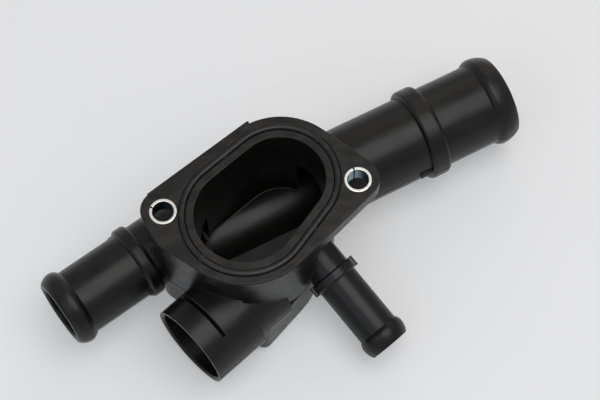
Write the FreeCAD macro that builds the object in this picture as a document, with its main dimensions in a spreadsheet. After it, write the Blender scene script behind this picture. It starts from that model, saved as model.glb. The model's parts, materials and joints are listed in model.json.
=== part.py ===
"""Coolant flange: a moulded housing with an oval port, four spigots, a seal and two steel sleeves.

The frame is the bolted joint: the origin is midway between the two bolt holes on the flange face,
X runs along the bolt line, and Z points out of the face. All sizes are millimetres and degrees.
"""
import FreeCAD, Part

import math
import os

import Sketcher

DRIVING_SIZES = [
    # flange plate and its two bolt holes
    ("bolt_spacing", 63.8),
    ("plate_thick", 6.2),
    ("plate_edge_round", 0.5),
    ("ear_radius", 7.3),
    ("ear_shift", 0.8),
    ("corner_x", -29.2),
    ("corner_y", -6.9),
    ("corner_radius", 7.4),
    ("rib_radius", 0.5),
    ("rib_left_dx", -3.7),
    ("rib_left_dy", 5.95),
    ("rib_right_dx", -7.2),
    ("rib_right_dy", 21.8),
    # steel sleeves in the bolt holes
    ("sleeve_od", 9.0),
    ("sleeve_wall", 1.0),
    ("sleeve_fit", 0.02),
    ("sleeve_proud", 0.15),
    ("sleeve_slit", 0.5),
    ("sleeve_edge", 0.2),
    ("left_slit_turn", 150.0),
    ("right_slit_turn", 100.0),
    # oval port: a large and a small round end
    ("port_big_x", -5.9),
    ("port_big_y", -5.5),
    ("port_big_radius", 16.8),
    ("port_small_x", 7.2),
    ("port_small_y", 4.95),
    ("port_small_radius", 14.9),
    ("port_below_axis", 7.5),
    ("floor_trough_from", -17.0),
    ("port_draft", 1.7),
    ("lip_width", 2.5),
    ("groove_width", 2.5),
    ("groove_depth", 2.6),
    ("rim_width", 2.7),
    # seal ring in the groove
    ("seal_side_gap", 0.2),
    ("seal_proud", 0.8),
    ("seal_round", 0.9),
    ("nub_gap", 0.03),
    ("nub_drop", 0.45),
    # chamber under the plate
    ("axis_depth", 30.0),
    ("chamber_below_socket", 0.15),
    ("chamber_inset", 0.6),
    ("chamber_wall", 3.2),
    ("chamber_round", 3.0),
    ("head_room_radius", 6.3),
    # web from the chamber's wall to the clip socket
    ("web_reach", 13.3),
    ("web_radius", 3.0),
    ("web_top_lead", 0.4),
    ("web_top_depth", 24.5),
    # large hose spigot
    ("main_turn", 17.6),
    ("main_offset", 8.0),
    ("main_root", -17.0),
    ("main_taper", 4.0),
    ("main_root_drop", 4.0),
    ("main_trough_from", 19.0),
    ("main_bore_from", 20.0),
    ("main_end", 96.4),
    ("main_radius", 14.45),
    ("main_wall", 2.6),
    ("main_collar_from", 61.8),
    ("main_collar_width", 7.0),
    ("main_collar_rise", 1.9),
    ("main_collar_round", 1.5),
    ("main_bead_from", 88.3),
    ("main_bead_lead", 2.8),
    ("main_bead_rise", 1.5),
    ("main_nose_drop", 0.1),
    ("main_tab_from", 57.3),
    ("main_tab_length", 4.8),
    ("main_tab_rise", 1.0),
    # smaller hose spigot on the other side
    ("left_turn", 206.84),
    ("left_offset", -16.8),
    ("left_root", 2.0),
    ("left_taper", 14.0),
    ("left_root_drop", 6.5),
    ("left_trough_from", 14.0),
    ("left_bore_from", 24.0),
    ("left_end", 71.3),
    ("left_radius", 11.7),
    ("left_wall", 2.3),
    ("left_collar_from", 37.5),
    ("left_collar_width", 4.9),
    ("left_collar_rise", 1.35),
    ("left_collar_round", 1.3),
    ("left_bead_from", 64.3),
    ("left_bead_lead", 3.0),
    ("left_bead_rise", 1.6),
    ("left_nose_drop", 0.3),
    ("left_tab_from", 40.5),
    ("left_tab_length", 3.0),
    ("left_tab_rise", 1.0),
    # clip socket
    ("socket_turn", 213.17),
    ("socket_offset", 13.7),
    ("socket_root", 12.0),
    ("socket_end", 45.4),
    ("socket_radius", 14.85),
    ("socket_bore", 13.3),
    ("socket_bore_length", 18.6),
    ("socket_inner_bore", 11.2),
    ("socket_inner_from", 6.0),
    ("socket_shoulder", 25.3),
    ("slot_from_rim", 7.7),
    ("slot_width", 1.5),
    ("slot_angle", 104.0),
    ("slot_roll", 16.0),
    # small hose spigot, which dips away from the flange plane
    ("small_turn", -58.7),
    ("small_offset", 7.15),
    ("small_dip", 15.5),
    ("small_depth", 22.5),
    ("small_root", 15.0),
    ("small_taper", 4.0),
    ("small_root_drop", 3.0),
    ("small_trough_from", 8.0),
    ("small_bore_from", 20.0),
    ("small_end", 58.2),
    ("small_radius", 7.15),
    ("small_wall", 2.2),
    ("small_collar_from", 27.3),
    ("small_collar_width", 3.2),
    ("small_collar_rise", 1.1),
    ("small_collar_round", 0.5),
    ("small_bead_from", 51.7),
    ("small_bead_lead", 2.6),
    ("small_bead_rise", 1.0),
    ("small_nose_drop", 0.1),
    ("small_tab_from", 27.0),
    ("small_tab_length", 3.6),
    ("small_tab_rise", 1.9),
    # details that the spigots share
    ("tab_thick", 1.4),
    ("mouth_flare", 0.6),
    ("trough_inset", 0.2),
]


class Size:
    """A number together with the sheet expression that it comes from."""

    def __init__(self, value, text):
        self.value = value
        self.text = text

    def __add__(self, other):
        other = as_size(other)
        return Size(self.value + other.value, "(%s + %s)" % (self.text, other.text))

    def __sub__(self, other):
        other = as_size(other)
        return Size(self.value - other.value, "(%s - %s)" % (self.text, other.text))

    def __mul__(self, other):
        other = as_size(other)
        return Size(self.value * other.value, "(%s * %s)" % (self.text, other.text))

    def __truediv__(self, other):
        other = as_size(other)
        return Size(self.value / other.value, "(%s / %s)" % (self.text, other.text))

    def __neg__(self):
        return Size(-self.value, "(-%s)" % self.text)

    def sin(self):
        return Size(math.sin(math.radians(self.value)), "sin(%s * 1 deg)" % self.text)

    def cos(self):
        return Size(math.cos(math.radians(self.value)), "cos(%s * 1 deg)" % self.text)


def as_size(number):
    """Return a plain number as a size, and a size as it is."""
    return number if isinstance(number, Size) else Size(number, repr(number))


doc = FreeCAD.newDocument("coolant_flange")
sheet = doc.addObject("Spreadsheet::Sheet", "Sizes")
size = {}
for row, (alias, value) in enumerate(DRIVING_SIZES, start=1):
    sheet.set("A%d" % row, alias)
    sheet.set("B%d" % row, str(value))
    sheet.setAlias("B%d" % row, alias)
    size[alias] = Size(value, "Sizes." + alias)
doc.recompute()


def new_body(label):
    """Start a sub-part."""
    body = doc.addObject("PartDesign::Body", label)
    body.Label = label
    return body


def new_sketch(body, name, x=0, y=0, z=0, yaw=0, pitch=0, roll=0):
    """Start a sketch on the body's XY plane, moved and turned by sizes of the sheet."""
    sketch = body.newObject("Sketcher::SketchObject", name)
    plane = next(item for item in body.Origin.OriginFeatures if item.Role == "XY_Plane")
    sketch.AttachmentSupport = [(plane, "")]
    sketch.MapMode = "FlatFace"
    place = [as_size(part).text for part in (x, y, z, yaw, pitch, roll)]
    placement = "placement(vector(%s; %s; %s); rotation(%s; %s; %s))" % tuple(place)
    sketch.setExpression("AttachmentOffset", placement)
    return sketch


def dimension(sketch, kind, first, second, length):
    """Add a driving dimension that follows a size. Zero keeps the point on the axis instead."""
    length = as_size(length)
    if abs(length.value) < 1e-9 and length.text in ("0", "0.0"):
        aligned = "PointOnObject"
        axis = -1 if kind == "DistanceY" else -2
        sketch.addConstraint(Sketcher.Constraint(aligned, *second, axis))
        return
    index = sketch.addConstraint(Sketcher.Constraint(kind, *first, *second, length.value))
    sketch.setExpression("Constraints[%d]" % index, length.text)


def draw_circle(sketch, x, y, radius):
    """Draw one circle with a fixed centre and radius."""
    centre = FreeCAD.Vector(as_size(x).value, as_size(y).value, 0)
    circle = Part.Circle(centre, FreeCAD.Vector(0, 0, 1), as_size(radius).value)
    locate_round(sketch, sketch.addGeometry(circle, False), x, y, radius)


def locate_round(sketch, index, x, y, radius):
    """Fix the centre and the radius of a circle or an arc."""
    dimension(sketch, "DistanceX", (-1, 1), (index, 3), x)
    dimension(sketch, "DistanceY", (-1, 1), (index, 3), y)
    radius = as_size(radius)
    constraint = sketch.addConstraint(Sketcher.Constraint("Radius", index, radius.value))
    sketch.setExpression("Constraints[%d]" % constraint, radius.text)


def draw_outline(sketch, rounds):
    """Draw the closed outline that wraps a counter-clockwise row of round corners.

    Each corner is (x, y, radius), and tangent lines join each to the next.
    """
    count = len(rounds)
    numbers = [tuple(as_size(part).value for part in corner) for corner in rounds]
    leaving = []
    for index in range(count):
        (x1, y1, r1), (x2, y2, r2) = numbers[index], numbers[(index + 1) % count]
        apart = math.hypot(x2 - x1, y2 - y1)
        leaving.append(math.atan2(y2 - y1, x2 - x1) - math.acos((r1 - r2) / apart))
    arcs = []
    for index, (x, y, radius) in enumerate(numbers):
        first = leaving[index - 1]
        last = first + (leaving[index] - first) % (2 * math.pi)
        circle = Part.Circle(FreeCAD.Vector(x, y, 0), FreeCAD.Vector(0, 0, 1), radius)
        arcs.append(sketch.addGeometry(Part.ArcOfCircle(circle, first, last), False))
    for index in range(count):
        following = (index + 1) % count
        normal = FreeCAD.Vector(math.cos(leaving[index]), math.sin(leaving[index]), 0)
        ends = []
        for x, y, radius in (numbers[index], numbers[following]):
            ends.append(FreeCAD.Vector(x, y, 0) + normal * radius)
        line = sketch.addGeometry(Part.LineSegment(*ends), False)
        sketch.addConstraint(Sketcher.Constraint("Tangent", arcs[index], 2, line, 1))
        sketch.addConstraint(Sketcher.Constraint("Tangent", line, 2, arcs[following], 1))
    for arc, corner in zip(arcs, rounds):
        locate_round(sketch, arc, *corner)


def draw_profile(sketch, start, steps):
    """Draw the closed half section of a turned shape, with the turning axis along the sketch's X.

    Each step is (kind, x, y): a straight "line" to that point, a "rise" that arrives there level,
    or a "fall" that leaves the last point level.
    """
    points = [start] + [step[1:] for step in steps]
    places = [FreeCAD.Vector(as_size(x).value, as_size(y).value, 0) for x, y in points]
    edges = []
    for index, (kind, _, _) in enumerate(steps):
        first, last = places[index], places[index + 1]
        if kind == "line":
            edges.append(sketch.addGeometry(Part.LineSegment(first, last), False))
            continue
        level, slope = (last, first) if kind == "rise" else (first, last)
        across, down = slope.x - level.x, level.y - slope.y
        radius = (across ** 2 + down ** 2) / (2 * down)
        centre = FreeCAD.Vector(level.x, level.y - radius, 0)
        circle = Part.Circle(centre, FreeCAD.Vector(0, 0, 1), radius)
        turns = [math.atan2(place.y - centre.y, place.x - centre.x) for place in (first, last)]
        edges.append(sketch.addGeometry(Part.ArcOfCircle(circle, turns[1], turns[0]), False))
    closing = sketch.addGeometry(Part.LineSegment(places[-1], places[0]), False)
    kinds = [step[0] for step in steps] + ["line"]
    edges.append(closing)
    heads = [(edge, 1 if kind == "line" else 2) for edge, kind in zip(edges, kinds)]
    tails = [(edge, 2 if kind == "line" else 1) for edge, kind in zip(edges, kinds)]
    for index, head in enumerate(heads):
        sketch.addConstraint(Sketcher.Constraint("Coincident", *tails[index - 1], *head))
        dimension(sketch, "DistanceX", (-1, 1), head, points[index][0])
        dimension(sketch, "DistanceY", (-1, 1), head, points[index][1])
        if kinds[index] != "line":
            level = tails[index] if kinds[index] == "rise" else head
            sketch.addConstraint(Sketcher.Constraint("Vertical", edges[index], 3, *level))


def extrude(body, kind, sketch, length, reverse=False, draft=None, both=False):
    """Pad or pocket a sketch by a size."""
    feature = body.newObject("PartDesign::" + kind, sketch.Name.replace("sketch", kind.lower()))
    feature.Profile = sketch
    feature.setExpression("Length", as_size(length).text)
    feature.Reversed = reverse
    feature.Midplane = both
    if draft is not None:
        feature.setExpression("TaperAngle", draft.text)
    sketch.Visibility = False
    doc.recompute()
    return feature


def turn(body, kind, sketch, angle=None):
    """Revolve a half section about its sketch's X axis, all round or by an angle to both sides."""
    feature = body.newObject("PartDesign::" + kind, sketch.Name.replace("sketch", kind.lower()))
    feature.Profile = sketch
    feature.ReferenceAxis = (sketch, ["H_Axis"])
    feature.Angle = 360
    if angle is not None:
        feature.Midplane = True
        feature.setExpression("Angle", angle.text)
    sketch.Visibility = False
    doc.recompute()
    return feature


def round_edges(body, name, base, radius, wanted):
    """Fillet the edges of the base feature that the test picks."""
    names = ["Edge%d" % (index + 1) for index, edge in enumerate(base.Shape.Edges) if wanted(edge)]
    feature = body.newObject("PartDesign::Fillet", name)
    feature.Base = (base, names)
    feature.setExpression("Radius", radius.text)
    doc.recompute()
    return feature


def lies_at(edge, height):
    """Tell whether the whole edge lies in a level plane."""
    box = edge.BoundBox
    return abs(box.ZMin - height) < 1e-4 and abs(box.ZMax - height) < 1e-4


def port_outline(margin):
    """Return the two round ends of the oval port, widened by a margin."""
    return [
        (size["port_big_x"], size["port_big_y"], size["port_big_radius"] + margin),
        (size["port_small_x"], size["port_small_y"], size["port_small_radius"] + margin),
    ]


def spigot_frame(name):
    """Return where a spigot's axis starts and how it is turned."""
    yaw, across = size[name + "_turn"], size[name + "_offset"]
    depth = size["small_depth"] if name == "small" else size["axis_depth"]
    pitch = size["small_dip"] if name == "small" else 0
    return {"x": -(across * yaw.sin()), "y": across * yaw.cos(), "z": -depth, "yaw": yaw, "pitch": pitch}


def socket_place(along, beside):
    """Return the place on the level plane of the clip socket's axis, along it and beside it."""
    yaw, across = size["socket_turn"], size["socket_offset"] + beside
    return along * yaw.cos() - across * yaw.sin(), along * yaw.sin() + across * yaw.cos()


def distance(first, last):
    """Return how far apart two places are."""
    gap_x, gap_y = last[0] - first[0], last[1] - first[1]
    text = "sqrt(%s * %s + %s * %s)" % (gap_x.text, gap_x.text, gap_y.text, gap_y.text)
    return Size(math.hypot(gap_x.value, gap_y.value), text)


def towards(first, last, length):
    """Return the place at a length from the first place on the way to the last."""
    share = length / distance(first, last)
    return first[0] + (last[0] - first[0]) * share, first[1] + (last[1] - first[1]) * share


def add_spigot(body, name):
    """Add one hose spigot: a pipe with a tapered root, a collar near it and a bead at its end."""
    radius = size[name + "_radius"]
    collar_start = size[name + "_collar_from"]
    collar_end = collar_start + size[name + "_collar_width"]
    collar_top = radius + size[name + "_collar_rise"]
    shoulder = size[name + "_collar_round"]
    bead_start, end = size[name + "_bead_from"], size[name + "_end"]
    section = new_sketch(body, name + "_sketch", **spigot_frame(name))
    root, taper = size[name + "_root"], size[name + "_taper"]
    draw_profile(section, (root, 0), [
        ("line", root, radius - size[name + "_root_drop"]),
        ("line", root + taper, radius),
        ("line", collar_start, radius),
        ("rise", collar_start + shoulder, collar_top),
        ("line", collar_end - shoulder, collar_top),
        ("fall", collar_end, radius),
        ("line", bead_start, radius),
        ("rise", bead_start + size[name + "_bead_lead"], radius + size[name + "_bead_rise"]),
        ("fall", end, radius - size[name + "_nose_drop"]),
        ("line", end, 0),
    ])
    turn(body, "Revolution", section)


def add_tabs(body, name):
    """Add the pair of small tabs where the mould halves part beside a spigot's collar."""
    reach = size[name + "_radius"] + size[name + "_tab_rise"]
    first = size[name + "_tab_from"]
    last = first + size[name + "_tab_length"]
    sketch = new_sketch(body, name + "_tab_sketch", **spigot_frame(name))
    corners = [(first, -reach), (last, -reach), (last, reach), (first, reach)]
    draw_profile(sketch, corners[0], [("line", *corner) for corner in corners[1:]])
    extrude(body, "Pad", sketch, size["tab_thick"], both=True)


def bore_spigot(body, name):
    """Bore a hose spigot from its flared mouth to the slightly narrower passage into the chamber."""
    bore = size[name + "_radius"] - size[name + "_wall"]
    end, flare = size[name + "_end"], size["mouth_flare"]
    section = new_sketch(body, name + "_bore_sketch", **spigot_frame(name))
    root, start = size[name + "_trough_from"], size[name + "_bore_from"]
    trough = bore - size["trough_inset"]
    draw_profile(section, (root, 0), [
        ("line", root, trough),
        ("line", start, trough),
        ("line", start, bore),
        ("line", end - flare, bore),
        ("line", end, bore + flare),
        ("line", end + flare, bore + flare),
        ("line", end + flare, 0),
    ])
    turn(body, "Groove", section)


def cut_floor_trough(body):
    """Round the chamber's floor, in line with the large spigot's bore."""
    yaw, across, below = size["main_turn"], size["main_offset"], size["port_below_axis"]
    radius = size["main_radius"] - size["main_wall"] - size["trough_inset"]
    half = Size(math.sqrt(radius.value ** 2 - below.value ** 2),
                "sqrt(%s * %s - %s * %s)" % (radius.text, radius.text, below.text, below.text))
    first, last = size["floor_trough_from"], size["main_trough_from"]
    along = (first + last) / 2
    x, y = along * yaw.cos() - across * yaw.sin(), along * yaw.sin() + across * yaw.cos()
    sketch = new_sketch(body, "floor_sketch", x=x, y=y, z=-size["axis_depth"], yaw=yaw - 90, roll=-90)
    draw_profile(sketch, (-half, below), [("rise", 0, radius), ("fall", half, below)])
    extrude(body, "Pocket", sketch, last - first, both=True)


def add_socket(body):
    """Add the clip socket's round wall, with a slimmer neck where the web takes over."""
    root, neck, shoulder = size["socket_root"], size["web_reach"], size["socket_shoulder"]
    section = new_sketch(body, "socket_sketch", **spigot_frame("socket"))
    draw_profile(section, (root, 0), [
        ("line", root, neck),
        ("line", shoulder, neck),
        ("line", shoulder, size["socket_radius"]),
        ("line", size["socket_end"], size["socket_radius"]),
        ("line", size["socket_end"], 0),
    ])
    turn(body, "Revolution", section)


def bore_socket(body):
    """Bore the clip socket in two steps, with a flared mouth, and cut its two clip slots."""
    end, bore, flare = size["socket_end"], size["socket_bore"], size["mouth_flare"]
    step = end - size["socket_bore_length"]
    section = new_sketch(body, "socket_bore_sketch", **spigot_frame("socket"))
    draw_profile(section, (size["socket_inner_from"], 0), [
        ("line", size["socket_inner_from"], size["socket_inner_bore"]),
        ("line", step, size["socket_inner_bore"]),
        ("line", step, bore),
        ("line", end - flare, bore),
        ("line", end, bore + flare),
        ("line", end + flare, bore + flare),
        ("line", end + flare, 0),
    ])
    turn(body, "Groove", section)
    first = end - size["slot_from_rim"] - size["slot_width"]
    last = end - size["slot_from_rim"]
    for side, half_turn in (("upper", 90), ("lower", 270)):
        roll = size["slot_roll"] + half_turn
        sketch = new_sketch(body, "%s_slot_sketch" % side, roll=roll, **spigot_frame("socket"))
        inside, outside = bore - flare, size["socket_radius"] + flare
        corners = [(first, inside), (last, inside), (last, outside), (first, outside)]
        draw_profile(sketch, corners[0], [("line", *corner) for corner in corners[1:]])
        turn(body, "Groove", sketch, size["slot_angle"])


def bolt_places():
    """Return the centres of the left and the right bolt hole."""
    half = size["bolt_spacing"] / 2
    return {"left": -half, "right": half}


def build_housing():
    """Build the moulded housing."""
    body = new_body("flange_housing")
    rim = size["lip_width"] + size["groove_width"] + size["rim_width"]
    big_end, small_end = port_outline(rim)
    holes = bolt_places()
    ears = {side: (x, size["ear_shift"], size["ear_radius"]) for side, x in holes.items()}
    corner = (size["corner_x"], size["corner_y"], size["corner_radius"])

    plate_sketch = new_sketch(body, "plate_sketch")
    draw_outline(plate_sketch, [ears["right"], small_end, ears["left"], corner, big_end])
    plate = extrude(body, "Pad", plate_sketch, size["plate_thick"], reverse=True)
    faces = (0.0, -size["plate_thick"].value)
    round_edges(body, "plate_edges", plate, size["plate_edge_round"],
                lambda edge: any(lies_at(edge, face) for face in faces))

    rib_sketch = new_sketch(body, "rib_sketch")
    rib_left = (holes["left"] + size["rib_left_dx"], size["ear_shift"] + size["rib_left_dy"])
    rib_right = (size["port_small_x"] + size["rib_right_dx"], size["port_small_y"] + size["rib_right_dy"])
    draw_outline(rib_sketch, [(*rib_right, size["rib_radius"]), (*rib_left, size["rib_radius"])])
    extrude(body, "Pad", rib_sketch, size["plate_thick"], reverse=True)

    inset = size["chamber_inset"]
    depth = size["axis_depth"] + size["socket_radius"] + size["chamber_round"] + size["chamber_below_socket"]
    big_wall = (*big_end[:2], big_end[2] - inset)
    small_wall = (*small_end[:2], size["port_small_radius"] + size["chamber_wall"])
    corner_wall = (*corner[:2], corner[2] - inset)
    chamber_sketch = new_sketch(body, "chamber_sketch", z=-depth)
    draw_outline(chamber_sketch, [small_wall, corner_wall, big_wall])
    extrude(body, "Pad", chamber_sketch, depth - size["plate_thick"] / 2)

    add_socket(body)
    foot = size["web_radius"]
    web_foot = (*socket_place(size["socket_shoulder"] - foot, size["web_reach"] - foot), foot)
    lead = big_wall[2] - foot + size["web_top_lead"]
    web_head = (*towards(big_wall, web_foot, lead), foot)
    web_sketch = new_sketch(body, "web_sketch", z=-depth)
    draw_outline(web_sketch, [big_wall, web_foot])
    web = extrude(body, "Pad", web_sketch, depth - size["axis_depth"])
    round_edges(body, "chamber_edges", web, size["chamber_round"], lambda edge: lies_at(edge, -depth.value))
    slope_foot = new_sketch(body, "slope_foot_sketch", z=-size["axis_depth"])
    draw_outline(slope_foot, [big_wall, web_foot])
    slope_head = new_sketch(body, "slope_head_sketch", z=-size["web_top_depth"])
    draw_outline(slope_head, [big_wall, web_head])
    slope = body.newObject("PartDesign::AdditiveLoft", "web_slope")
    slope.Profile = slope_foot
    slope.Sections = [slope_head]
    slope.Ruled = True
    doc.recompute()

    room_sketch = new_sketch(body, "head_room_sketch", z=-size["plate_thick"])
    for x in holes.values():
        draw_circle(room_sketch, x, 0, size["head_room_radius"])
    extrude(body, "Pocket", room_sketch, depth)

    for name in ("main", "left", "small"):
        add_spigot(body, name)
        add_tabs(body, name)

    port_sketch = new_sketch(body, "port_sketch")
    draw_outline(port_sketch, port_outline(0))
    port_depth = size["axis_depth"] + size["port_below_axis"]
    extrude(body, "Pocket", port_sketch, port_depth, draft=-size["port_draft"])
    groove_sketch = new_sketch(body, "groove_sketch")
    for margin in (size["lip_width"], size["lip_width"] + size["groove_width"]):
        draw_outline(groove_sketch, port_outline(margin))
    extrude(body, "Pocket", groove_sketch, size["groove_depth"])
    hole_sketch = new_sketch(body, "hole_sketch")
    for x in holes.values():
        draw_circle(hole_sketch, x, 0, size["sleeve_od"] / 2 + size["sleeve_fit"])
    extrude(body, "Pocket", hole_sketch, size["plate_thick"])
    cut_floor_trough(body)
    for name in ("main", "left", "small"):
        bore_spigot(body, name)
    bore_socket(body)
    return body


def build_seal():
    """Build the rubber ring in the groove, with a round crest and four nubs that grip the groove."""
    body = new_body("oval_seal")
    inner = size["lip_width"] + size["seal_side_gap"]
    outer = size["lip_width"] + size["groove_width"] - size["seal_side_gap"]
    ring_sketch = new_sketch(body, "ring_sketch", z=-size["groove_depth"])
    for margin in (inner, outer):
        draw_outline(ring_sketch, port_outline(margin))
    ring = extrude(body, "Pad", ring_sketch, size["groove_depth"] + size["seal_proud"])
    crest = size["seal_proud"].value
    round_edges(body, "ring_crest", ring, size["seal_round"], lambda edge: lies_at(edge, crest))

    big, small = port_outline(size["lip_width"] + size["groove_width"] / 2)
    (x1, y1, r1), (x2, y2, r2) = big, small
    apart = distance(big, small)
    along_x, along_y = (x2 - x1) / apart, (y2 - y1) / apart
    lean = (r1 - r2) / apart
    rest = Size(math.sqrt(1 - lean.value ** 2), "sqrt(1 - %s * %s)" % (lean.text, lean.text))
    places = [(x1 - along_x * r1, y1 - along_y * r1), (x2 + along_x * r2, y2 + along_y * r2)]
    for side in (1, -1):
        normal_x = along_x * lean - along_y * rest * side
        normal_y = along_y * lean + along_x * rest * side
        reach = (r1 + r2) / 2
        places.append(((x1 + x2) / 2 + normal_x * reach, (y1 + y2) / 2 + normal_y * reach))
    nub_sketch = new_sketch(body, "nub_sketch", z=-size["groove_depth"])
    for x, y in places:
        draw_circle(nub_sketch, x, y, size["groove_width"] / 2 - size["nub_gap"])
    extrude(body, "Pad", nub_sketch, size["groove_depth"] + size["seal_proud"] - size["nub_drop"])
    return body


def build_sleeve(side, x):
    """Build one rolled steel sleeve with its slit."""
    body = new_body("sleeve_" + side)
    outside = size["sleeve_od"] / 2
    inside = outside - size["sleeve_wall"]
    ring_sketch = new_sketch(body, side + "_ring_sketch", x=x, z=-size["plate_thick"])
    for radius in (inside, outside):
        draw_circle(ring_sketch, 0, 0, radius)
    ring = extrude(body, "Pad", ring_sketch, size["plate_thick"] + size["sleeve_proud"])
    round_edges(body, side + "_ring_edges", ring, size["sleeve_edge"],
                lambda edge: isinstance(edge.Curve, Part.Circle))
    slit_sketch = new_sketch(body, side + "_slit_sketch", x=x, z=size["sleeve_proud"],
                             yaw=size[side + "_slit_turn"])
    half = size["sleeve_slit"] / 2
    corners = [(inside / 2, -half), (outside * 2, -half), (outside * 2, half), (inside / 2, half)]
    draw_profile(slit_sketch, corners[0], [("line", *corner) for corner in corners[1:]])
    extrude(body, "Pocket", slit_sketch, size["plate_thick"] + size["sleeve_proud"])
    return body


def check_document():
    """Stop if any object has failed to compute."""
    for item in doc.Objects:
        if {"Invalid", "Error"} & set(item.State):
            raise RuntimeError("%s did not compute: %s" % (item.Name, item.State))


def write_steps(bodies):
    """Check each sub-part's shape and write it."""
    for body in bodies:
        if body.Shape.isNull() or not body.Shape.isValid() or len(body.Shape.Solids) != 1:
            raise RuntimeError("%s is not one valid solid" % body.Label)
    os.makedirs("parts", exist_ok=True)
    for body in bodies:
        body.Shape.exportStep("parts/%s.step" % body.Label)


def main():
    """Build every sub-part and write it."""
    bodies = [build_housing(), build_seal()]
    bodies += [build_sleeve(side, x) for side, x in bolt_places().items()]
    doc.recompute()
    check_document()
    write_steps(bodies)


main()
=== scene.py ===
"""Looks of a moulded coolant flange that lies on a pale bench with its flange face up.

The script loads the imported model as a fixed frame, gives every piece its finish, adds the fine flash
lines that the moulding tool leaves, and sets up the floor, the light and the camera. Lengths are
metres, in the frame of the bolted joint: X runs along the bolt line and Z out of the flange face.
"""

import json
import logging
import math
from dataclasses import dataclass, field
from enum import Enum
from typing import Any, Callable

import bmesh
import bpy
from mathutils import Matrix, Vector
from mathutils.bvhtree import BVHTree


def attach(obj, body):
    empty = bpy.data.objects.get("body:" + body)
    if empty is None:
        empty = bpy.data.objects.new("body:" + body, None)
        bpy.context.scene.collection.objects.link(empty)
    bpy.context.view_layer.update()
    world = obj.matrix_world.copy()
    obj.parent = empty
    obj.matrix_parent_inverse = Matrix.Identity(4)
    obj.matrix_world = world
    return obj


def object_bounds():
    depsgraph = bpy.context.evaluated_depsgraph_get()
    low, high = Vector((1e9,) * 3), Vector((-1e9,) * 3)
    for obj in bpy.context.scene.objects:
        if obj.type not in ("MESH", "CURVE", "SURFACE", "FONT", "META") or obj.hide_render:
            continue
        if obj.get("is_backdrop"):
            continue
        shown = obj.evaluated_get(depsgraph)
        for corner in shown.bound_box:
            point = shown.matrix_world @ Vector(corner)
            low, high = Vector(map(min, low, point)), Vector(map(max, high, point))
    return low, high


Colour = tuple[float, float, float]
Triple = tuple[float, float, float]
Range = tuple[float, float]
Socket = bpy.types.NodeSocket

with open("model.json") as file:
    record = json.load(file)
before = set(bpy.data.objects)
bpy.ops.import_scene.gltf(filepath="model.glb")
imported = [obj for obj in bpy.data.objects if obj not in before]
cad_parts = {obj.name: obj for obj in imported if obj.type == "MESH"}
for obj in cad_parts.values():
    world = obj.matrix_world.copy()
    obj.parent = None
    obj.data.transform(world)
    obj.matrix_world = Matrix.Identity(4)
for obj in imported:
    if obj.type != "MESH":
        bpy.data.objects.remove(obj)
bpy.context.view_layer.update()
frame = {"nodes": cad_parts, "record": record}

MILLIMETRE = 0.001
log = logging.getLogger("coolant_flange")


class Slot(Enum):
    """The record's material slots."""

    HOUSING = "housing_plastic"
    SEAL = "seal_rubber"
    SLEEVE = "sleeve_steel"


class Side(Enum):
    """The two bolt ears of the flange plate."""

    LEFT = "left"
    RIGHT = "right"


class Axis(Enum):
    """The parts of a vector, in the order of its outputs."""

    X = 0
    Y = 1
    Z = 2


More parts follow.
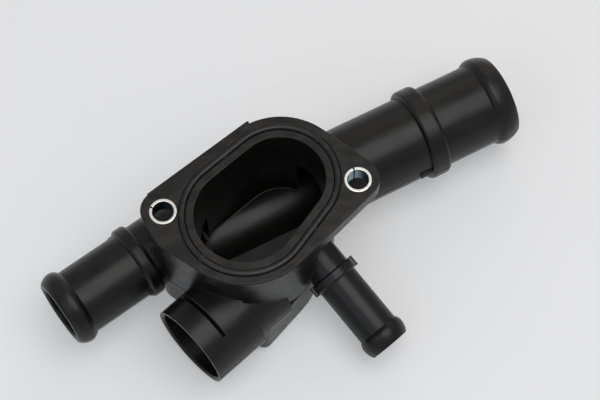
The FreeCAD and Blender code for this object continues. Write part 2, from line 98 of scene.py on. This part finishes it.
class ShaderSheet:
    """A material's node tree, with short calls for the nodes that the finishes share."""

    BEVEL_SAMPLES: int = 6
    EDGE_RANGE: Range = (0.995, 0.85)

    def __init__(self, name: str) -> None:
        """Start a material with one surface shader.

        Args:
            name: What the material is called.
        """
        self.material = bpy.data.materials.new(name)
        self.material.use_nodes = True
        self.nodes = self.material.node_tree.nodes
        self.links = self.material.node_tree.links
        self.nodes.clear()
        self.surface = self.nodes.new("ShaderNodeBsdfPrincipled")
        self.output = self.nodes.new("ShaderNodeOutputMaterial")
        self.links.new(self.surface.outputs["BSDF"], self.output.inputs["Surface"])
        self.place = self.nodes.new("ShaderNodeTexCoord").outputs["Object"]

    def _feed(self, socket: Socket, value: Any) -> None:
        """Join an output to a socket, or set the socket to a plain value."""
        if isinstance(value, bpy.types.NodeSocket):
            self.links.new(value, socket)
        else:
            socket.default_value = value

    def set(self, name: str, value: Any) -> None:
        """Set one input of the surface shader."""
        self._feed(self.surface.inputs[name], value)

    def noise(self, size: float, detail: float = 3.0, roughness: float = 0.5,
              stretch: Vector | None = None) -> Socket:
        """Add a noise pattern.

        Args:
            size: The size of its blotches, in metres.
            detail: How many finer layers it has.
            roughness: How strong the finer layers are.
            stretch: How many times longer the blotches are along X, Y and Z.

        Returns:
            The pattern, from 0 to 1 about a mean of a half.
        """
        pattern = self.nodes.new("ShaderNodeTexNoise")
        place = self.place
        if stretch is not None:
            mapping = self.nodes.new("ShaderNodeMapping")
            self.links.new(place, mapping.inputs["Vector"])
            mapping.inputs["Scale"].default_value = [1 / part for part in stretch]
            place = mapping.outputs["Vector"]
        self.links.new(place, pattern.inputs["Vector"])
        pattern.inputs["Scale"].default_value = 1 / size
        pattern.inputs["Detail"].default_value = detail
        pattern.inputs["Roughness"].default_value = roughness
        return pattern.outputs["Fac"]

    def specks(self, size: float, share: float) -> Socket:
        """Add small round specks, about one to a cell.

        Args:
            size: How far apart the cells are, in metres.
            share: How much of a cell's width the speck takes.

        Returns:
            A mask that is 1 in the specks and 0 between them.
        """
        cells = self.nodes.new("ShaderNodeTexVoronoi")
        self.links.new(self.place, cells.inputs["Vector"])
        cells.inputs["Scale"].default_value = 1 / size
        return self.remap(cells.outputs["Distance"], share, share / 2)

    def remap(self, value: Socket, low: float, high: float, new_low: float = 0.0,
              new_high: float = 1.0) -> Socket:
        """Stretch a value's range, clamped at both ends."""
        node = self.nodes.new("ShaderNodeMapRange")
        parts = {"Value": value, "From Min": low, "From Max": high, "To Min": new_low, "To Max": new_high}
        for name, part in parts.items():
            self._feed(node.inputs[name], part)
        return node.outputs["Result"]

    def math(self, operation: str, first: Any, second: Any) -> Socket:
        """Work out one sum, product or the like."""
        node = self.nodes.new("ShaderNodeMath")
        node.operation = operation
        self._feed(node.inputs[0], first)
        self._feed(node.inputs[1], second)
        return node.outputs["Value"]

    def blend(self, share: Any, first: Any, second: Any) -> Socket:
        """Mix two colours."""
        node = self.nodes.new("ShaderNodeMix")
        node.data_type = "RGBA"
        colours = [socket for socket in node.inputs if socket.type == "RGBA"]
        self._feed(node.inputs["Factor"], share)
        for socket, value in zip(colours, (first, second)):
            self._feed(socket, (*value, 1.0) if isinstance(value, tuple) else value)
        return next(socket for socket in node.outputs if socket.type == "RGBA")

    def facing(self, axis: Axis) -> Socket:
        """Return one part of the surface's own direction."""
        split = self.nodes.new("ShaderNodeSeparateXYZ")
        self.links.new(self.nodes.new("ShaderNodeNewGeometry").outputs["Normal"], split.inputs["Vector"])
        return split.outputs[axis.value]

    def part_of_place(self, axis: Axis) -> Socket:
        """Return one part of the place."""
        split = self.nodes.new("ShaderNodeSeparateXYZ")
        self.links.new(self.place, split.inputs["Vector"])
        return split.outputs[axis.value]

    def soft_edges(self, radius: float) -> tuple[Socket, Socket]:
        """Round the shading over sharp edges.

        Args:
            radius: The radius that the edges seem to have, in metres.

        Returns:
            The rounded direction, and a mask that rises towards the edges.
        """
        bevel = self.nodes.new("ShaderNodeBevel")
        bevel.samples = self.BEVEL_SAMPLES
        bevel.inputs["Radius"].default_value = radius
        alike = self.nodes.new("ShaderNodeVectorMath")
        alike.operation = "DOT_PRODUCT"
        self.links.new(bevel.outputs["Normal"], alike.inputs[0])
        self.links.new(self.nodes.new("ShaderNodeNewGeometry").outputs["Normal"], alike.inputs[1])
        return bevel.outputs["Normal"], self.remap(alike.outputs["Value"], *self.EDGE_RANGE)

    def bump(self, height: Socket, depth: float, normal: Socket | None = None) -> Socket:
        """Raise the surface by a pattern.

        Args:
            height: The pattern, from 0 to 1.
            depth: How high its tops stand, in metres.
            normal: The direction that it starts from.

        Returns:
            The new direction.
        """
        node = self.nodes.new("ShaderNodeBump")
        node.inputs["Strength"].default_value = 1.0
        node.inputs["Distance"].default_value = depth
        self.links.new(height, node.inputs["Height"])
        if normal is not None:
            self.links.new(normal, node.inputs["Normal"])
        return node.outputs["Normal"]


@dataclass(frozen=True)
class MouldedNylon:
    """Glass-filled black nylon as it comes out of the tool: satin, faintly clouded, and lighter on top,
    partly from dust and partly as painted light from above.
    """

    name: str = "moulded_nylon"
    colour: Colour = (0.0042, 0.0041, 0.0040)
    cloud_colour: Colour = (0.0080, 0.0075, 0.0068)
    # Lighter warm tone on upward faces: partly dust, partly painted light from above.
    dust_and_top_light_colour: Colour = (0.046, 0.040, 0.032)
    # Lighter edge tone: partly wear, partly a painted highlight where edges catch the light.
    edge_highlight_colour: Colour = (0.055, 0.052, 0.048)
    roughness: float = 0.27
    rough_spread: float = 0.09
    specular: float = 0.27
    cloud_size: float = 9 * MILLIMETRE
    flow_size: float = 1.6 * MILLIMETRE
    flow_stretch: Triple = (5.0, 2.5, 1.0)
    grain_size: float = 0.45 * MILLIMETRE
    grain_depth: float = 0.016 * MILLIMETRE
    ripple_size: float = 4 * MILLIMETRE
    ripple_depth: float = 0.05 * MILLIMETRE
    speck_cell: float = 1.4 * MILLIMETRE
    edge_radius: float = 0.35 * MILLIMETRE
    dust_and_top_light_heights: Range = (-20 * MILLIMETRE, -3 * MILLIMETRE)
    upward_range: Range = (0.75, 1.0)
    cloud_range: Range = (0.35, 0.70)
    flow_range: Range = (0.3, 0.7)
    film_range: Range = (0.42, 0.60)
    film_most: float = 0.26
    speck_share: float = 0.10
    speck_strength: float = 0.6
    edge_wear_and_highlight: float = 0.5
    dust_roughness: float = 0.05

    def make(self) -> bpy.types.Material:
        """Build the material."""
        sheet = ShaderSheet(self.name)
        clouds = sheet.remap(sheet.noise(self.cloud_size, detail=4.0), *self.cloud_range)
        flow = sheet.noise(self.flow_size, detail=3.0, stretch=Vector(self.flow_stretch))
        grain = sheet.noise(self.grain_size, detail=2.0, roughness=0.6)
        rounded, edges = sheet.soft_edges(self.edge_radius)

        # Upward faces high on the part get a lighter warm film and specks: partly dust, partly painted
        # light from above.
        upward = sheet.remap(sheet.facing(Axis.Z), *self.upward_range)
        exposed = sheet.remap(sheet.part_of_place(Axis.Z), *self.dust_and_top_light_heights)
        upward = sheet.math("MULTIPLY", upward, exposed)
        film = sheet.math("MULTIPLY", upward, sheet.remap(flow, *self.film_range, 0.0, self.film_most))
        specks = sheet.math("MULTIPLY", upward, sheet.specks(self.speck_cell, self.speck_share))
        dust_and_top_light = sheet.math("MAXIMUM", film, sheet.math("MULTIPLY", specks, self.speck_strength))

        body = sheet.blend(clouds, self.colour, self.cloud_colour)
        # Edges are lightened, partly as wear and partly as a painted highlight where they catch the light.
        worn_and_highlit = sheet.blend(sheet.math("MULTIPLY", edges, self.edge_wear_and_highlight), body, self.edge_highlight_colour)
        sheet.set("Base Color", sheet.blend(dust_and_top_light, worn_and_highlit, self.dust_and_top_light_colour))
        satin = sheet.remap(flow, *self.flow_range, self.roughness, self.roughness + self.rough_spread)
        dulled = sheet.math("MULTIPLY", upward, self.dust_roughness)
        sheet.set("Roughness", sheet.math("ADD", satin, dulled))
        sheet.set("Specular IOR Level", self.specular)
        ripples = sheet.bump(sheet.noise(self.ripple_size, detail=1.0), self.ripple_depth, rounded)
        sheet.set("Normal", sheet.bump(grain, self.grain_depth, ripples))
        return sheet.material


@dataclass(frozen=True)
class SealRubber:
    """Black rubber with a smooth, slightly oily crest."""

    name: str = "seal_rubber"
    colour: Colour = (0.0060, 0.0062, 0.0064)
    bloom_colour: Colour = (0.018, 0.0175, 0.0165)
    bloom_range: Range = (0.45, 0.75)
    roughness: float = 0.28
    rough_spread: float = 0.18
    specular: float = 0.36
    bloom_size: float = 2.5 * MILLIMETRE
    skin_size: float = 0.30 * MILLIMETRE
    skin_depth: float = 0.006 * MILLIMETRE
    edge_radius: float = 0.15 * MILLIMETRE

    def make(self) -> bpy.types.Material:
        """Build the material."""
        sheet = ShaderSheet(self.name)
        bloom = sheet.remap(sheet.noise(self.bloom_size, detail=4.0), *self.bloom_range)
        skin = sheet.noise(self.skin_size, detail=2.0)
        rounded, _ = sheet.soft_edges(self.edge_radius)
        sheet.set("Base Color", sheet.blend(bloom, self.colour, self.bloom_colour))
        dulled = sheet.remap(bloom, 0.0, 1.0, self.roughness, self.roughness + self.rough_spread)
        sheet.set("Roughness", dulled)
        sheet.set("Specular IOR Level", self.specular)
        sheet.set("Normal", sheet.bump(skin, self.skin_depth, rounded))
        return sheet.material


@dataclass(frozen=True)
class ZincPlatedSteel:
    """Rolled steel strip with a bright zinc coat, which has a cool blue film inside the bore, darkened
    there as painted shade.
    """

    name: str = "zinc_plated_steel"
    rim_colour: Colour = (0.86, 0.84, 0.78)
    bore_film_and_shade_colour: Colour = (0.17, 0.27, 0.31)
    stain_colour: Colour = (0.50, 0.46, 0.38)
    roughness: float = 0.24
    rough_spread: float = 0.14
    stain_range: Range = (0.50, 0.75)
    stain_most: float = 0.6
    upright_range: Range = (0.55, 0.15)
    drawn_range: Range = (0.3, 0.7)
    stain_size: float = 1.8 * MILLIMETRE
    drawn_size: float = 0.12 * MILLIMETRE
    drawn_stretch: Triple = (1.0, 1.0, 14.0)
    drawn_depth: float = 0.004 * MILLIMETRE
    edge_radius: float = 0.12 * MILLIMETRE

    def make(self) -> bpy.types.Material:
        """Build the material."""
        sheet = ShaderSheet(self.name)
        patches = sheet.noise(self.stain_size, detail=4.0)
        stains = sheet.remap(patches, *self.stain_range, 0.0, self.stain_most)
        drawn = sheet.noise(self.drawn_size, detail=2.0, stretch=Vector(self.drawn_stretch))
        rounded, _ = sheet.soft_edges(self.edge_radius)
        upright = sheet.remap(sheet.facing(Axis.Z), *self.upright_range)
        # Faces that do not look up, the bore among them, take a dark blue tone: partly the zinc's blue
        # film, partly painted shade.
        coat_and_bore_shade = sheet.blend(upright, self.rim_colour, self.bore_film_and_shade_colour)
        sheet.set("Base Color", sheet.blend(stains, coat_and_bore_shade, self.stain_colour))
        sheet.set("Metallic", 1.0)
        rough = sheet.remap(drawn, *self.drawn_range, self.roughness, self.roughness + self.rough_spread)
        sheet.set("Roughness", rough)
        sheet.set("Normal", sheet.bump(drawn, self.drawn_depth, rounded))
        return sheet.material


@dataclass(frozen=True)
class BenchPaper:
    """Pale matt paper on a bench, with an even share of its own tone that keeps the shadow light."""

    name: str = "bench_paper"
    colour: Colour = (0.80, 0.80, 0.805)
    tint: Colour = (0.785, 0.785, 0.79)
    glow: Colour = (0.765, 0.765, 0.77)
    glow_share: float = 0.35
    blotch_size: float = 60 * MILLIMETRE
    roughness: float = 0.7

    def make(self) -> bpy.types.Material:
        """Build the material."""
        sheet = ShaderSheet(self.name)
        sheet.set("Base Color", sheet.blend(sheet.noise(self.blotch_size), self.colour, self.tint))
        sheet.set("Roughness", self.roughness)
        glow = sheet.nodes.new("ShaderNodeEmission")
        glow.inputs["Color"].default_value = (*self.glow, 1.0)
        path = sheet.nodes.new("ShaderNodeLightPath")
        seen = path.outputs["Is Camera Ray"]
        for name in ("Is Glossy Ray", "Is Transmission Ray"):
            seen = sheet.math("MAXIMUM", seen, path.outputs[name])
        mix = sheet.nodes.new("ShaderNodeMixShader")
        sheet.links.new(sheet.math("MULTIPLY", seen, self.glow_share), mix.inputs["Fac"])
        sheet.links.new(sheet.surface.outputs["BSDF"], mix.inputs[1])
        sheet.links.new(glow.outputs["Emission"], mix.inputs[2])
        sheet.links.new(mix.outputs["Shader"], sheet.output.inputs["Surface"])
        return sheet.material


def dress(piece: bpy.types.Object, finish: bpy.types.Material) -> None:
    """Give a piece its finish.

    Args:
        piece: The piece to dress.
        finish: Its material.
    """
    piece.data.materials.clear()
    piece.data.materials.append(finish)


@dataclass
class Spigot:
    """One bored pipe of the housing, as the record's mounts state it."""

    middle: Vector
    axis: Vector
    bore: float

    @classmethod
    def from_record(cls, name: str) -> "Spigot":
        """Read a spigot from the record.

        Args:
            name: The name of its bore mount.

        Returns:
            The spigot.
        """
        mount = next(mount for mount in frame["record"]["mounts"] if mount["name"] == name)
        axis = Vector(mount["axis"]).normalized()
        return cls(Vector(mount["pos_m"]), axis, mount["dims"]["r_mm"] * MILLIMETRE)

    @property
    def across(self) -> Vector:
        """The level direction across the pipe."""
        return Vector((0, 0, 1)).cross(self.axis).normalized()

    def reach(self, place: Vector) -> tuple[float, float]:
        """Return how far a place lies along the axis from the middle, and how far beside it."""
        along = (place - self.middle).dot(self.axis)
        return along, (place - self.middle - self.axis * along).length


@dataclass
class FlashLine:
    """A fine raised line, such as the one where the two halves of the moulding tool met."""

    width: float = 0.28 * MILLIMETRE
    rise: float = 0.10 * MILLIMETRE
    lift: float = 0.3 * MILLIMETRE
    waver: float = 0.35
    beats: Range = (1.7, 0.61)
    weld: float = 0.001 * MILLIMETRE
    shortest: float = 3 * MILLIMETRE
    slack: float = 0.01 * MILLIMETRE
    sharp: float = math.radians(30)
    pieces: list[bpy.types.Object] = field(default_factory=list)

    def _skin(self, body: bpy.types.Object) -> bmesh.types.BMesh:
        """Return the body's mesh with its doubled vertices joined."""
        skin = bmesh.new()
        skin.from_mesh(body.data)
        bmesh.ops.remove_doubles(skin, verts=skin.verts, dist=self.weld)
        return skin

    def trace(self, body: bpy.types.Object, origin: Vector, normal: Vector,
              wanted: Callable[[Vector], bool]) -> list:
        """Find where a plane meets the outside of a body.

        Args:
            body: The moulded body.
            origin: A place on the parting plane.
            normal: The plane's direction.
            wanted: Tells whether a place belongs to this line.

        Returns:
            The line's stretches, each a list of places with their outward directions.
        """
        skin = self._skin(body)
        tree = BVHTree.FromBMesh(skin)
        whole = skin.verts[:] + skin.edges[:] + skin.faces[:]
        cut = bmesh.ops.bisect_plane(skin, geom=whole, plane_co=origin, plane_no=normal)["geom_cut"]
        outer = []
        for edge in (item for item in cut if isinstance(item, bmesh.types.BMEdge) and item.link_faces):
            middle = (edge.verts[0].co + edge.verts[1].co) / 2
            out = sum((face.normal for face in edge.link_faces), Vector())
            out = (out - normal * out.dot(normal)).normalized()
            start = middle + out * self.lift
            free = tree.ray_cast(start, -normal)[0] is None
            if free and wanted(middle):
                outer.append((edge.verts[0].co.copy(), edge.verts[1].co.copy(), out))
        skin.free()
        return self._chain(outer)

    def rim_at(self, body: bpy.types.Object, height: float, wanted: Callable[[Vector], bool]) -> list:
        """Find the overhanging edges that lie at a height.

        Args:
            body: The moulded body.
            height: The edges' height.
            wanted: Tells whether a place belongs to this line.

        Returns:
            The line's stretches, each a list of places with their outward directions.
        """
        skin = self._skin(body)
        found = []
        for edge in skin.edges:
            first, last = edge.verts[0].co, edge.verts[1].co
            level = all(abs(place.z - height) < self.slack for place in (first, last))
            if level and len(edge.link_faces) == 2 and edge.calc_face_angle_signed(0.0) > self.sharp:
                out = sum((face.normal for face in edge.link_faces), Vector()).normalized()
                if wanted((first + last) / 2):
                    found.append((first.copy(), last.copy(), out))
        skin.free()
        return self._chain(found)

    def _chain(self, steps: list) -> list:
        """Join short steps end to end into stretches."""
        def key(place: Vector) -> tuple:
            """Round a place, so that equal ends compare as equal."""
            return tuple(round(part, 6) for part in place)

        ends: dict[tuple, list[int]] = {}
        for index, (first, last, _) in enumerate(steps):
            ends.setdefault(key(first), []).append(index)
            ends.setdefault(key(last), []).append(index)

        def joins(index: int) -> int:
            """Count the steps that meet at a step's freer end."""
            return min(len(ends[key(place)]) for place in steps[index][:2])

        left = set(range(len(steps)))
        stretches = []
        for begin in sorted(left, key=joins):
            if begin not in left:
                continue
            left.discard(begin)
            first, last, out = steps[begin]
            if len(ends[key(first)]) > 1 and len(ends[key(last)]) == 1:
                first, last = last, first
            stretch = [(first, out), (last, out)]
            while True:
                nearby = [index for index in ends[key(stretch[-1][0])] if index in left]
                if not nearby:
                    break
                left.discard(nearby[0])
                start, stop, out = steps[nearby[0]]
                stretch.append((stop if key(start) == key(stretch[-1][0]) else start, out))
            length = sum((a[0] - b[0]).length for a, b in zip(stretch, stretch[1:]))
            if length > self.shortest:
                stretches.append(stretch)
        return stretches

    def raise_ridge(self, name: str, stretches: list, normal: Vector, finish: bpy.types.Material) -> None:
        """Build the ridge along the stretches.

        Args:
            name: The piece's name.
            stretches: What trace or rim_at found.
            normal: The direction across the line.
            finish: The ridge's material.
        """
        mesh = bmesh.new()
        for stretch in stretches:
            rows = []
            travelled = 0.0
            for index, (place, _) in enumerate(stretch):
                around = [out for _, out in stretch[max(0, index - 1):index + 2]]
                out = sum(around, Vector()).normalized()
                if index:
                    travelled += (place - stretch[index - 1][0]).length
                quick, slow = (math.sin(travelled / MILLIMETRE * beat) for beat in self.beats)
                swell = 1 + self.waver * quick * slow
                half = normal * (self.width / 2)
                top = place + out * self.rise * swell
                foot = place - out * self.rise
                rows.append([mesh.verts.new(foot + half), mesh.verts.new(top), mesh.verts.new(foot - half)])
            for before, after in zip(rows, rows[1:]):
                for side in range(3):
                    following = (side + 1) % 3
                    mesh.faces.new((before[side], before[following], after[following], after[side]))
            for row in (rows[0], rows[-1]):
                mesh.faces.new(row)
        bmesh.ops.recalc_face_normals(mesh, faces=mesh.faces)
        data = bpy.data.meshes.new(name)
        mesh.to_mesh(data)
        mesh.free()
        piece = bpy.data.objects.new(name, data)
        bpy.context.scene.collection.objects.link(piece)
        dress(piece, finish)
        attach(piece, "root")
        self.pieces.append(piece)


@dataclass
class Housing:
    """The moulded housing with its flash lines, and a bright ridge along its chamber floor's edge that is a
    painted highlight.
    """

    node: str = "flange_housing"
    small_reach: float = 9 * MILLIMETRE
    past_bore: float = 1.1
    line_bores: float = 4.0
    root_bores: float = 5.0
    floor_height: float = -37.5 * MILLIMETRE
    flash: FlashLine = field(default_factory=FlashLine)
    # Size and colours of the painted highlight ridge along the chamber floor's far edge.
    edge_width: float = 0.55 * MILLIMETRE
    edge_rise: float = 0.22 * MILLIMETRE
    edge_highlight_colour: Colour = (0.13, 0.125, 0.115)
    edge_highlight_cloud: Colour = (0.17, 0.165, 0.15)

    def build(self) -> None:
        """Dress the moulding and add its fine ridges."""
        body = frame["nodes"][self.node]
        finish = MouldedNylon().make()
        dress(body, finish)
        level = Vector((0, 0, 1))
        main, small = Spigot.from_record("main_bore"), Spigot.from_record("small_bore")

        def on_body(place: Vector) -> bool:
            """Tell whether a place is away from the small spigot."""
            along, beside = small.reach(place)
            return beside > self.small_reach or along < -small.bore * self.root_bores

        def on_small(place: Vector) -> bool:
            """Tell whether a place is on the outside of the small spigot."""
            along, beside = small.reach(place)
            outside = small.bore * self.past_bore < beside < self.small_reach
            return outside and along > -small.bore * self.line_bores

        def on_far_side(place: Vector) -> bool:
            """Tell whether a place is past the large bore's axis."""
            return (place - main.middle).dot(main.across) > 0

        stretches = self.flash.trace(body, main.middle, level, on_body)
        self.flash.raise_ridge("body_flash_line", stretches, level, finish)
        tilted = small.axis.cross(small.across).normalized()
        stretches = self.flash.trace(body, small.middle, tilted, on_small)
        self.flash.raise_ridge("small_spigot_flash_line", stretches, tilted, finish)

        # The bright ridge along the chamber floor's far edge is a painted highlight, where the edge catches
        # the light.
        highlight_finish = MouldedNylon("painted_highlight_nylon", colour=self.edge_highlight_colour, cloud_colour=self.edge_highlight_cloud).make()
        edge = FlashLine(width=self.edge_width, rise=self.edge_rise)
        stretches = edge.rim_at(body, self.floor_height, on_far_side)
        edge.raise_ridge("chamber_floor_edge_highlight", stretches, level, highlight_finish)
        for piece in [body, *self.flash.pieces, *edge.pieces]:
            log.info("%s: %d faces", piece.name, len(piece.data.polygons))


@dataclass
class OvalSeal:
    """The rubber ring round the port."""

    node: str = "oval_seal"

    def build(self) -> None:
        """Dress the ring."""
        ring = frame["nodes"][self.node]
        dress(ring, SealRubber().make())
        log.info("%s: %d faces", ring.name, len(ring.data.polygons))


@dataclass
class Sleeves:
    """The two rolled sleeves in the bolt ears."""

    def build(self) -> None:
        """Dress both sleeves."""
        finish = ZincPlatedSteel().make()
        for side in Side:
            sleeve = frame["nodes"]["sleeve_" + side.value]
            dress(sleeve, finish)
            log.info("%s: %d faces", sleeve.name, len(sleeve.data.polygons))


@dataclass(frozen=True)
class Softbox:
    """A round soft lamp that points at the part."""

    name: str
    colour: Colour
    power: float
    size: float
    distance: float
    direction: Triple

    def hang(self) -> None:
        """Hang the lamp in its place."""
        lamp = bpy.data.lights.new(self.name, "AREA")
        lamp.shape = "DISK"
        lamp.size = self.size
        lamp.energy = self.power
        lamp.color = self.colour
        holder = bpy.data.objects.new(self.name, lamp)
        direction = Vector(self.direction).normalized()
        holder.location = direction * self.distance
        holder.rotation_euler = direction.to_track_quat("Z", "Y").to_euler()
        bpy.context.scene.collection.objects.link(holder)


@dataclass
class Studio:
    """The floor, the light and the camera."""

    floor_half: float = 1.5
    world_colour: Colour = (0.97, 0.98, 1.0)
    world_strength: float = 0.50
    softboxes: tuple[Softbox, ...] = (
        Softbox("overhead_softbox", (1.0, 0.99, 0.985), 4.6, 0.84, 0.9, (0.22, -0.14, 0.97)),
        Softbox("warm_bounce", (1.0, 0.72, 0.50), 0.55, 0.6, 0.9, (0.30, 0.80, 0.52)),
        Softbox("cool_window", (0.60, 0.80, 1.0), 0.9, 0.6, 0.9, (-0.55, -0.45, 0.70)),
    )
    lens: float = 104.03
    sensor: float = 36.0
    clip_start: float = 0.01
    eye: Triple = (-0.02443, -0.23007, 0.50901)
    right: Triple = (0.98466, -0.17437, -0.00677)
    up: Triple = (0.16174, 0.89739, 0.41052)
    back: Triple = (-0.06551, -0.40532, 0.91183)

    def lay_floor(self) -> None:
        """Lay the pale floor under the part."""
        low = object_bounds()[0][2]
        half = self.floor_half
        data = bpy.data.meshes.new("bench")
        corners = [(-half, -half, low), (half, -half, low), (half, half, low), (-half, half, low)]
        data.from_pydata(corners, [], [(0, 1, 2, 3)])
        floor = bpy.data.objects.new("bench", data)
        bpy.context.scene.collection.objects.link(floor)
        floor.data.materials.append(BenchPaper().make())
        floor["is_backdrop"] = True

    def light(self) -> None:
        """Set up the even surrounding light and the soft lamps."""
        world = bpy.data.worlds.new("soft_room")
        world.use_nodes = True
        background = world.node_tree.nodes["Background"]
        background.inputs["Color"].default_value = (*self.world_colour, 1.0)
        background.inputs["Strength"].default_value = self.world_strength
        bpy.context.scene.world = world
        for softbox in self.softboxes:
            softbox.hang()

    def aim_camera(self) -> None:
        """Put the camera at the photograph's viewpoint."""
        data = bpy.data.cameras.new("photo_camera")
        data.lens = self.lens
        data.sensor_width = self.sensor
        data.clip_start = self.clip_start
        camera = bpy.data.objects.new("photo_camera", data)
        turned = Matrix((self.right, self.up, self.back)).transposed()
        camera.matrix_world = Matrix.Translation(self.eye) @ turned.to_4x4()
        bpy.context.scene.collection.objects.link(camera)
        bpy.context.scene.camera = camera

    def build(self) -> None:
        """Set up everything round the part."""
        self.lay_floor()
        self.light()
        self.aim_camera()
        bpy.context.scene.view_settings.view_transform = "Standard"


def write_sizes() -> None:
    """Bring the view layer up to date."""
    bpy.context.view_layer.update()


def main() -> None:
    """Build the looks in order."""
    logging.basicConfig(level=logging.INFO, format="%(name)s %(message)s")
    for assembly in (Housing(), OvalSeal(), Sleeves(), Studio()):
        assembly.build()
        log.info("%s done", type(assembly).__name__)
    write_sizes()


if __name__ == "__main__":
    main()
